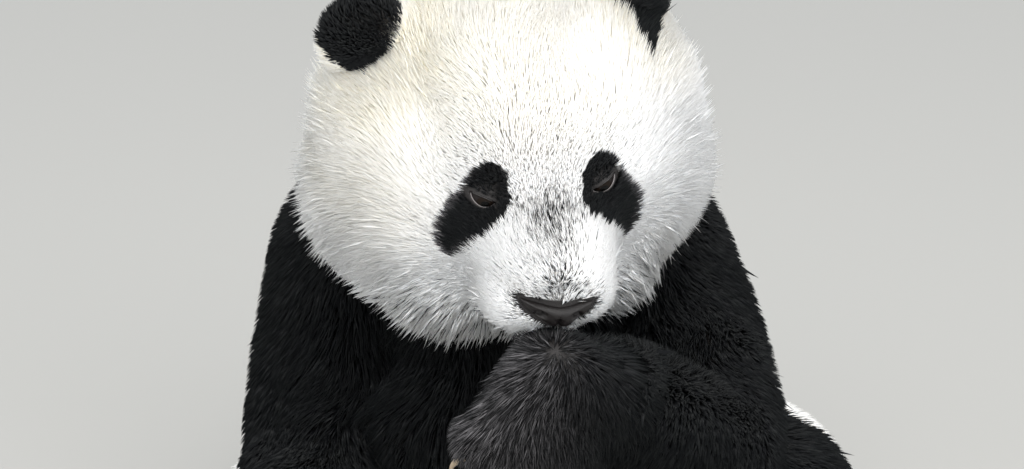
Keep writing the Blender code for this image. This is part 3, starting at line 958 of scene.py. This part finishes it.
def lid_rim(name, side):
    """A closed ring of bare skin round the gap between the lids, and how low each corner is."""
    turns = turns_round(RIM_STEPS)
    power = 2.0 / ROUNDNESS
    x = OPENING[0] * 1.02 * np.sign(np.cos(turns)) * np.abs(np.cos(turns)) ** power
    y = OPENING[1] * 1.06 * np.sign(np.sin(turns)) * np.abs(np.sin(turns)) ** power
    z = np.sqrt(np.maximum((EYE_RADIUS + 0.0003) ** 2 - x**2 - y**2, 1e-8))
    line = np.stack((x, y, z), 1)
    ahead = unit(np.roll(line, -1, 0) - np.roll(line, 1, 0))
    rise = unit(line)
    aside = np.cross(ahead, rise)
    points = np.stack([
        line + RIM * (math.cos(turn) * aside + math.sin(turn) * rise)
        for turn in turns_round(RIM_SIDES)
    ], 1).reshape(-1, 3)
    # How low each corner is: there the rim is painted paler, a painted highlight of its wet gleam.
    low = np.repeat(step(0.0002, -0.0010, y), RIM_SIDES)
    faces = ring_faces(RIM_STEPS, RIM_SIDES, closed=True)
    return middle("eye_" + name) + points @ eye_axes(side), faces, low


look = Look("lid_rim")
# Dark rim skin, and on the lower rim a paler grey that is a painted highlight, not its own colour.
skin = look.mix(look.attribute("low"), (0.012, 0.009, 0.009, 1), (0.14, 0.125, 0.125, 1))
wet_look = look.finish(base_color=skin, roughness=0.25, coat_weight=0.8, coat_roughness=0.05)
for name, side in SIDES:
    points, faces, low = lid_rim(name, side)
    piece = add_piece("lid_rim_" + name, points, faces, wet_look)
    carry(piece.data, "low", low)

# ---- Nose -------------------------------------------------------------------------------------
# A broad pad of bare, pebbled skin, straight along its top, pointed at both sides and drawn
# down to a foot, with a nostril like a comma in each half. Always a little wet.

NOSE_THICK, NOSE_PROUD, NOSE_SUNK = 0.0040, 0.0006, 0.0018
NOSE_RINGS = 30
NOSE_HEART = (0.0, -0.0640)  # the place on the pad that its rings close in on
NOSTRIL = (0.0112, -0.0640)  # aside and above
NOSTRIL_DEEP, SLIT_DEEP, GROOVE_DEEP = 0.0050, 0.0022, 0.0012


def domed(share):
    """How high a pad stands: 0 at its rim, where share is 1, and 1 at its middle."""
    return (1.0 - share**2.6) ** 0.6


def carved(x, z):
    """How deep the nostrils and the groove under them go, at a place on the nose."""
    aside, above = abs(x) - NOSTRIL[0], z + NOSE_SLOPE * x - NOSTRIL[1]
    outer = max(aside, 0.0)
    hole, slit = math.hypot(aside / 1.25, above), math.hypot(outer / 3.2, above + 0.45 * outer)
    deep = NOSTRIL_DEEP * math.exp(-((hole / 0.0021) ** 2.4))
    deep += SLIT_DEEP * math.exp(-((slit / 0.0011) ** 2)) * (aside > -0.001)
    return deep + GROOVE_DEEP * math.exp(-((x / 0.0009) ** 2)) * float(step(-0.062, -0.067, z))


def nose_shape():
    """The pad's closed mesh: rings from its outline to its middle, and a back inside the hide."""
    corners = np.array(NOSE_OUTLINE)
    shares = np.arange(6) / 6.0
    rim = corners[:, None] + shares[None, :, None] * (np.roll(corners, -1, 0) - corners)[:, None]
    rim = rim.reshape(-1, 2)
    for _ in range(2):
        rim = 0.5 * rim + 0.25 * (np.roll(rim, 1, 0) + np.roll(rim, -1, 0))
    heart = np.array(NOSE_HEART)

    def place(x, z, proud):
        """This far in front of the hide, at a place on the pad."""
        start = Vector(from_head((x, 0.20, z)))
        hit = hide_tree.ray_cast(start, Vector(-HEAD_AXES[1]))[0]
        return from_head((x, in_head(np.array(hit)[None])[0, 1] + proud, z))

    points = [place(x, z, sunk) for sunk in (-NOSE_SUNK, -0.0002) for x, z in rim]
    for i in range(NOSE_RINGS):
        share = 1.0 - i / NOSE_RINGS
        proud = NOSE_PROUD + NOSE_THICK * domed(share)
        points += [place(x, z, proud - carved(x, z)) for x, z in heart + (rim - heart) * share]
    points += [place(*heart, NOSE_THICK + NOSE_PROUD), place(*heart, -NOSE_SUNK)]
    return points, ring_faces(NOSE_RINGS + 2, len(rim))


def bare_skin(name, patches, dark, light, pebble_scale, roughness):
    """Black pebbled skin, a little lighter in patches of this size."""
    look = Look(name)
    inputs = {"Vector": look.place(), "Scale": pebble_scale}
    pebbles = look.node("ShaderNodeTexVoronoi", inputs, feature="DISTANCE_TO_EDGE")
    return look.finish(
        base_color=look.mix(look.noise(patches), dark, light), roughness=roughness,
        specular_ior_level=0.3, normal=look.bump(pebbles, 0.0004, 0.6),
    )


nose_look = bare_skin(
    "nose_skin", 0.004, (0.006, 0.005, 0.005, 1), (0.014, 0.012, 0.012, 1), 1300.0, 0.38
)
nose = add_piece("nose_pad", *nose_shape(), nose_look)
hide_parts("nose")

# ---- Claws ------------------------------------------------------------------------------------
# Five hooked claws of horn on each paw, tan at the root and darker to the tip. Each is set a
# little way into its toe.

CLAW_SET_IN, CLAW_BEND, CLAW_BREADTH = 0.75, 0.26, 0.23  # as shares of its length
CLAW_STEPS, CLAW_SIDES = 22, 14


def claw_tree(look):
    """Puts a bent, tapering claw on every point, turned and sized by the point's own values."""
    tree = bpy.data.node_groups.new("claws", "GeometryNodeTree")
    face = tree.interface
    face.new_socket("Geometry", in_out="INPUT", socket_type="NodeSocketGeometry")
    breadth = face.new_socket("Breadth", in_out="INPUT", socket_type="NodeSocketFloat")
    face.new_socket("Geometry", in_out="OUTPUT", socket_type="NodeSocketGeometry")

    def node(kind, inputs=(), **settings):
        return add_node(tree, kind, inputs, **settings).outputs

    group = node("NodeGroupInput")
    line = node("GeometryNodeCurveQuadraticBezier", {
        "Resolution": CLAW_STEPS, "Start": (-CLAW_SET_IN, 0.0, -0.05),
        "Middle": (0.40, 0.0, 2.0 * CLAW_BEND), "End": (1.0, 0.0, 0.0),
    })
    along = node("GeometryNodeSplineParameter")["Factor"]
    left = node("ShaderNodeMath", (1.02, along), operation="SUBTRACT")[0]
    taper = node("ShaderNodeMath", (left, 0.62), operation="POWER")[0]
    radius = node("ShaderNodeMath", (taper, group["Breadth"]), operation="MULTIPLY")[0]
    ring = node("GeometryNodeCurvePrimitiveCircle", {"Resolution": CLAW_SIDES, "Radius": 1.0})
    body = node("GeometryNodeCurveToMesh", {
        "Curve": line["Curve"], "Profile Curve": ring["Curve"], "Scale": radius, "Fill Caps": True,
    })
    inputs = {"Geometry": body["Mesh"], "Name": "along", "Value": along}
    marked = node("GeometryNodeStoreNamedAttribute", inputs, data_type="FLOAT", domain="POINT")
    turn = node("GeometryNodeInputNamedAttribute", {"Name": "turn"}, data_type="FLOAT_VECTOR")
    size = node("GeometryNodeInputNamedAttribute", {"Name": "size"}, data_type="FLOAT")
    turned = node("FunctionNodeEulerToRotation", {"Euler": turn["Attribute"]})
    placed = node("GeometryNodeInstanceOnPoints", {
        "Points": group["Geometry"], "Instance": marked["Geometry"],
        "Rotation": turned["Rotation"], "Scale": size["Attribute"],
    })
    real = node("GeometryNodeRealizeInstances", {"Geometry": placed["Instances"]})
    inputs = {"Geometry": real["Geometry"], "Material": look}
    node("NodeGroupOutput", {0: node("GeometryNodeSetMaterial", inputs)["Geometry"]})
    return tree, breadth.identifier


def claw_line(node):
    """Where a claw leaves its toe, its tip, and the way its back bulges."""
    points = np.array(node_arrays(node)[0])
    gaps = np.array([hide_tree.find_nearest(Vector(p))[3] for p in points])
    root = points[np.argsort(gaps)[: max(len(points) // 4, 3)]].mean(0)
    tip = points[np.argmax(np.linalg.norm(points - root, axis=1))]
    chord = unit(tip - root)
    bulge = points.mean(0) - (root + tip) / 2
    bulge -= (bulge @ chord) * chord
    return root, tip, unit(bulge)


look = Look("claw")
horn = look.mix(look.attribute("along"), (0.42, 0.33, 0.23, 1), (0.11, 0.075, 0.05, 1))
claws_tree, breadth_socket = claw_tree(look.finish(
    base_color=look.mix(look.noise(0.002, 3.0) * 0.35, horn, (0.05, 0.035, 0.025, 1)),
    roughness=0.32, normal=look.bump(look.noise(0.0012), 0.0002),
))
for paw in [part + side for part in ("forepaw_", "hindpaw_") for side, _ in SIDES]:
    lines = [claw_line(n) for n in claws_of(paw)]
    mesh = solid_mesh("claws_" + paw, [([Vector(root) for root, _, _ in lines], [])])
    turns = mesh.attributes.new("turn", "FLOAT_VECTOR", "POINT")
    for i, (root, tip, bulge) in enumerate(lines):
        chord = unit(tip - root)
        axes = Matrix(np.array((chord, np.cross(bulge, chord), bulge)).T.tolist())
        turns.data[i].vector = axes.to_euler()
    carry(mesh, "size", np.array([np.linalg.norm(tip - root) for root, tip, _ in lines]))
    piece = linked("claws_" + paw, mesh)
    grow = piece.modifiers.new("grow", "NODES")
    grow.node_group = claws_tree
    grow[breadth_socket] = CLAW_BREADTH
    grown = evaluated(piece)
    piece.modifiers.remove(grow)
    piece.data = grown
    grown.name = "claws_" + paw
    grown.shade_smooth()
    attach(piece, "root")
    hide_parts(*claws_of(paw))

# ---- Soles ------------------------------------------------------------------------------------
# The soles of the hind feet are furred but for their pads of bare, rough black skin: a small
# one under each toe and a broad one across the ball of the foot, level with the fur about them.

TOE_PAD, BALL_PAD = (0.0056, 0.0076), (0.0230, 0.0085)  # half their breadths and lengths
TOE_PAD_BACK, BALL_PAD_BACK = 0.0175, 0.0400  # how far down the sole from the claws' roots
PAD_RISE, PAD_SUNK = 0.0040, 0.0016
PAD_SIDES, PAD_RINGS = 32, 9


def sole_axes(side):
    """The claws' roots on a hind foot, and its sole's directions: across, to the toes, and out."""
    roots = np.array([claw_line(n)[0] for n in claws_of("hindpaw_" + side)])
    knee, ankle = WAYS["shank_" + side]
    out = unit(ankle - knee)
    across = np.linalg.svd(roots - roots.mean(0))[2][0]
    across = unit(across - (across @ out) * out)
    ahead = np.cross(out, across)
    ahead = ahead if ahead @ (roots.mean(0) - middle("hindpaw_" + side)) > 0.0 else -ahead
    return roots, across, ahead, out


def pad(centre, half, across, ahead, out):
    """A closed, rounded pad that lies on the hide about this place."""
    points = []
    for i in range(-1, PAD_RINGS):
        share = 1.0 - max(i, 0) / PAD_RINGS
        rise = -2.0 * PAD_SUNK if i < 0 else (PAD_RISE + PAD_SUNK) * domed(share) - PAD_SUNK
        for turn in turns_round(PAD_SIDES):
            place = centre + share * half[0] * math.cos(turn) * across
            place = place + share * half[1] * math.sin(turn) * ahead
            hit = hide_tree.ray_cast(Vector(place + 0.05 * out), Vector(-out), 0.07)[0]
            hit = hit or hide_tree.find_nearest(Vector(place))[0]
            points.append(np.array(hit) + rise * out)
    points += [np.mean(row, axis=0) for row in (points[-PAD_SIDES:], points[:PAD_SIDES])]
    return points, ring_faces(PAD_RINGS + 1, PAD_SIDES)


sole_look = bare_skin(
    "pad_skin", 0.006, (0.008, 0.007, 0.007, 1), (0.022, 0.019, 0.018, 1), 900.0, 0.6
)
for side, _ in SIDES:
    roots, across, ahead, out = sole_axes(side)
    wanted = [(r - TOE_PAD_BACK * ahead, TOE_PAD) for r in roots]
    wanted.append((roots.mean(0) - BALL_PAD_BACK * ahead, BALL_PAD))
    points, faces = [], []
    for centre, half in wanted:
        corners, sides = pad(centre, half, across, ahead, out)
        faces += [[i + len(points) for i in face] for face in sides]
        points += corners
        x, y, z = ((hide_points - centre) @ np.array((across, ahead, out)).T).T
        far = np.hypot(x / half[0], y / half[1]) * 0.92 + (np.abs(z) > 0.04)
        bare = np.maximum(bare, far < 1.0)
    piece = add_piece("sole_pads_" + side, points, faces, sole_look)

# ---- Coat -------------------------------------------------------------------------------------
# The coat is fine tufts of hair, each a thin closed leaf, bent over and pointed, that leans the
# way the hair lies, its tip drawn to its neighbours'. White and black hairs are pieces of their
# own, and each piece is an even share of tufts from all over the body.

TUFT_WIDEST = (0.57, 0.45)  # height and run of the widest place, as shares
ROOT_SUNK, LEAST_HEIGHT = 0.0004, 0.0004  # the second is over the floor
PATCH_RADIUS = 0.0015  # of a tuft's place on the map
CLUMP = 20  # tufts that draw together
MEET_AT = 0.4  # the share of the way to its tip at which a tuft's neighbours are looked for
WISP = (1.35, 1.2, 0.5)  # a stray hair's height, run and breadth beside its neighbours'
DARK_HAIR = (1.1, 1.0, 0.7)
PULLED_IN = 0.85  # the share of its way out of the outline that a tip is brought back
# keeps each piece under its limit of triangles
PIECE_TUFTS = 49000  # the most tufts in one piece, so each piece has at most 196,000 triangles
rng = np.random.default_rng(8)


def scattered(mesh, spacing, kept):
    """Places spread over the mesh: each one's triangle and the weights of its corners."""
    mesh.calc_loop_triangles()
    corners = numbers(mesh.loop_triangles, "vertices", 3, np.int32)
    points = hide_points[corners]
    normals = np.cross(points[:, 1] - points[:, 0], points[:, 2] - points[:, 0])
    area = np.linalg.norm(normals, axis=1) / 2
    expected = area / spacing[corners].mean(1) ** 2 * kept[corners].min(1)
    count = np.floor(expected + rng.random(len(expected))).astype(int)
    triangle = np.repeat(np.arange(len(corners)), count)
    u, v = rng.random((2, len(triangle)))
    over = u + v > 1.0
    u[over], v[over] = 1.0 - u[over], 1.0 - v[over]
    return triangle, np.stack((1.0 - u - v, u, v), 1), corners


triangle, weights, tri_corners = scattered(hide, spacing, 1.0 - bare)
tri_loops = numbers(hide.loop_triangles, "loops", 3, np.int32)
hide_uv = numbers(hide.uv_layers["OFBake"].data, "uv", 2)


def at_roots(values, corners=tri_corners):
    """Values held at the hide's corners, read at the root of every tuft."""
    picked = values[corners[triangle]]
    share = weights if values.ndim == 1 else weights[:, :, None]
    return (picked * share).sum(1)


root = at_roots(hide_points)
root_uv = at_roots(hide_uv, tri_loops)
normal = unit(at_roots(hide_normals))
count = len(root)


def tuft_paths():
    """Each tuft's height over the skin, its run along it, and its way."""
    way = at_roots(hair_way)
    aside = np.cross(normal, way)
    swing = rng.normal(0.0, 0.20, count) + 0.35 * ripple(root, 0.03, 5)
    way = way * np.cos(swing)[:, None] + aside * np.sin(swing)[:, None]
    way = unit(along_skin(way, normal))
    height = at_roots(coat_height) * (1.0 + at_roots(unevenness) * rng.uniform(-1.0, 0.6, count))
    angle = at_roots(lean) * rng.uniform(0.85, 1.2, count)
    run = np.minimum(height / np.tan(angle), LONGEST_RUN - 0.010 * head_share)
    return way, height, run


def resized(some, sizes):
    for values, size in zip((height, run, thick), sizes):
        values[some] *= size


head_share, ruff = at_roots(on_head), at_roots(to_ruff * by_head)
way, height, run = tuft_paths()
thick = at_roots(breadth) * rng.uniform(0.75, 1.25, count)
wisp = rng.random(count) < 0.002 + 0.098 * ruff
resized(wisp, WISP)
seen = root + SEEN * run[:, None] * way
black = blackness(seen, at_roots(limb_black), head_share, 0.16) > 0.5
dark_hair = (rng.random(count) < speckle(in_head(seen))) & (head_share > 0.5) & ~black
resized(dark_hair, DARK_HAIR)
black |= dark_hair
tip = root + normal * height[:, None] + way * run[:, None]
lead = rng.permutation(count)[: count // CLUMP]
heart = root + MEET_AT * (tip - root)
leaders = tree_of(heart[lead])
led_by = lead[np.array([leaders.find(p)[1] for p in heart])]
draw = (at_roots(drawn) * rng.uniform(0.4, 1.2, count) * ~dark_hair)[:, None]
meet = tip[led_by] + 0.3 * (root - root[led_by])
tip = tip + draw * (meet - tip)
beyond, out = standing_out(tip, whole)
head_alone = joined_outline([n for n in FLESH if kind_of(n) in ("head", "muzzle", "neck", "ear")])
on_it = head_share > 0.5
beyond[on_it], out[on_it] = standing_out(tip[on_it], head_alone)
loose = 0.0015 + 0.002 * ruff * rng.random(count) + 0.005 * wisp
tip -= (PULLED_IN * np.maximum(beyond - loose, 0.0))[:, None] * out
twist = rng.normal(0.0, 0.5, count) * np.where(black, 1.0, 0.6)


def brownness_and_highlight(points, hand):
    """How brown the black coat is at the outer edges of the eye patches, and how grey over the
    hand: a little grey hair all over it, and a painted highlight towards the body's middle.
    """
    places = in_head(points)
    aside, _, above = apart(places)
    edge = step(0.0045, 0.0005, in_patch(places)) * step(0.040, 0.052, aside) * (above < 0.03)
    # The hand's own grey hair is the 0.08; the rest is a painted highlight, strongest where x is 0
    # or below.
    dust_and_highlight = (0.08 + 0.85 * step(0.060, 0.0, points[:, 0])) * hand
    return np.clip(edge * head_share + dust_and_highlight, 0.0, 1.0)


# Where the hand's grey hair and its painted highlight lie.
hand_dust_and_highlight = relaxed((owners == "forepaw_left") * 1.0, hide_edges, 25)
# The white coat's cream, or the black coat's brown and grey with the hand's painted highlight.
warmth = np.where(black, brownness_and_highlight(seen, at_roots(hand_dust_and_highlight)), creaminess(seen))


def coat_mesh(name, chosen):
    """The chosen tufts as one mesh, with its attributes and map."""
    up, along, top = normal[chosen], way[chosen], tip[chosen]
    rise, reach_out = height[chosen, None] * up, run[chosen, None] * along
    high, far = TUFT_WIDEST
    bent = top - root[chosen] - rise - reach_out
    centre = root[chosen] + rise * high + reach_out * far + bent * far**2
    turn = twist[chosen, None]
    side = np.cross(up, along) * np.cos(turn) + up * np.sin(turn)
    side *= thick[chosen, None] / 2
    vertices = np.stack((root[chosen] - up * ROOT_SUNK, centre - side, centre + side, top), 1)
    vertices[:, :, 2] = np.maximum(vertices[:, :, 2], LEAST_HEIGHT)
    count = len(chosen)
    first = np.arange(count)[:, None] * 4
    under = first + np.array((0, 3, 1, 0, 2, 3))
    over = first + np.array((0, 1, 2, 3, 2, 1))
    loops = np.concatenate((under.ravel(), over.ravel()))
    mesh = bpy.data.meshes.new(name)
    mesh.vertices.add(count * 4)
    move_corners(mesh, vertices)
    mesh.loops.add(len(loops))
    mesh.loops.foreach_set("vertex_index", loops.astype(np.int32))
    mesh.polygons.add(count * 4)
    mesh.polygons.foreach_set("loop_start", np.arange(0, len(loops), 3, dtype=np.int32))
    mesh.update(calc_edges=True)
    kite = np.array(((0.0, -1.0), (-0.87, 0.1), (0.87, 0.1), (0.0, 1.0))) * PATCH_RADIUS
    places = (root_uv[chosen][:, None, :] + kite).reshape(-1, 2)
    layer = mesh.uv_layers.new(name="OFBake")
    layer.data.foreach_set("uv", places[loops].astype(np.float32).ravel())
    carry(mesh, "tone", np.repeat(rng.random(count), 4))
    carry(mesh, "warm", np.repeat(warmth[chosen], 4))
    carry(mesh, "along", np.tile(np.array((0.0, 0.5, 0.5, 1.0)), count))
    if black[chosen[0]]:
        mesh.shade_smooth()
    return mesh


look = Look("white_hair")
tone, along, cream = (look.attribute(n) for n in ("tone", "along", "warm"))
cool = look.mix(tone, (0.90, 0.90, 0.91, 1), (0.98, 0.98, 0.98, 1))
warm = look.mix(tone, (0.88, 0.78, 0.56, 1), (0.97, 0.91, 0.74, 1))
tinted = look.mix(cream, cool, warm)
white_look = look.finish(
    base_color=look.mix(along * 0.2 + 0.8, (0.90, 0.86, 0.80, 1), tinted),
    roughness=0.6, sheen_weight=0.2, sheen_roughness=0.4,
    subsurface_weight=0.8, subsurface_radius=(1.0, 0.92, 0.84), subsurface_scale=0.002,
)

look = Look("black_hair")
# warm holds the brown of the eye patches' edges and the hand's grey with its painted highlight.
tone, along, brown = (look.attribute(n) for n in ("tone", "along", "warm"))
deep = look.mix(tone, (0.003, 0.003, 0.004, 1), (0.007, 0.007, 0.008, 1))
light = look.mix(tone * tone, (0.005, 0.006, 0.007, 1), (0.022, 0.024, 0.024, 1))
plain = look.mix(along * along, deep, light)
# The hand's grey hair and its painted highlight, lighter towards the tips.
dusted_and_highlit = look.mix(tone * tone * along, (0.010, 0.010, 0.011, 1), (0.270, 0.260, 0.272, 1))
black_look = look.finish(
    base_color=look.mix(brown, plain, dusted_and_highlit), roughness=0.5, specular_ior_level=0.10,
    sheen_weight=0.015, sheen_roughness=0.35, sheen_tint=(0.70, 0.80, 0.80, 1),
)

for colour, chosen, look in (
    ("white", np.flatnonzero(~black), white_look),
    ("black", np.flatnonzero(black), black_look),
):
    pieces = math.ceil(len(chosen) / PIECE_TUFTS)
    for k in range(pieces):
        name = f"{colour}_coat_{k + 1}"
        piece = linked(name, coat_mesh(name, chosen[k::pieces]))
        piece.data.materials.append(look)
        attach(piece, "root")

# ---- Studio -----------------------------------------------------------------------------------
# A plain pale floor, a large soft light above and one on each side, and a long lens that
# looks down a little at the head and the raised hand.

LENS, SENSOR = 135.0, 36.0
DISTANCE, LOOK_DOWN = 2.394, math.radians(23.0)  # from the head's middle
LOWERED, MOVED_LEFT = 0.0888, 0.0056
LIT = (0, 0, 0.3)  # the place that the lights are aimed at


def aim(name, thing, place, target):
    placed = linked(name, thing)
    turn = (Vector(place) - Vector(target)).normalized().to_track_quat("Z", "Y")
    placed.matrix_world = Matrix.Translation(place) @ turn.to_matrix().to_4x4()
    return placed


lens = bpy.data.cameras.new("camera")
lens.lens, lens.sensor_width, lens.clip_end = LENS, SENSOR, 50.0
look = np.array((0.0, math.cos(LOOK_DOWN), -math.sin(LOOK_DOWN)))
lift = np.array((0.0, math.sin(LOOK_DOWN), math.cos(LOOK_DOWN)))
eye_point = HEAD_MIDDLE - DISTANCE * look - LOWERED * lift + np.array((MOVED_LEFT, 0.0, 0.0))
bpy.context.scene.camera = aim("camera", lens, eye_point, eye_point + look)

floor_mesh = solid_mesh("floor", [([(-20, -20, 0), (20, -20, 0), (20, 20, 0), (-20, 20, 0)],
                                   [(0, 1, 2, 3)])])
floor_mesh.materials.append(Look("paper").finish(base_color=(0.40, 0.395, 0.38, 1), roughness=0.9))
linked("floor", floor_mesh)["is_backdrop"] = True

world = bpy.data.worlds.new("studio")
world.use_nodes = True
sky = world.node_tree.nodes["Background"].inputs
sky["Color"].default_value, sky["Strength"].default_value = (0.95, 0.98, 1.0, 1.0), 1.10
bpy.context.scene.world = world
bpy.context.scene.view_settings.view_transform = "Standard"
for name, power, size, colour, place in (
    ("key", 63.0, 1.9, (1.0, 0.97, 0.93), (0.12, -1.6, 2.5)),
    ("fill_left", 17.0, 1.6, (1.0, 1.0, 1.0), (-1.7, -1.5, 1.3)),
    ("fill_right", 21.0, 1.6, (1.0, 1.0, 1.0), (1.6, -1.6, 1.2)),
):
    light = bpy.data.lights.new(name, "AREA")
    light.energy, light.size, light.color = power, size, colour
    aim(name, light, place, LIT)

size = {"cad": [list(map(float, p)) for p in CAD_BOX]}
size["visual"] = [list(map(float, p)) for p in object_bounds()]
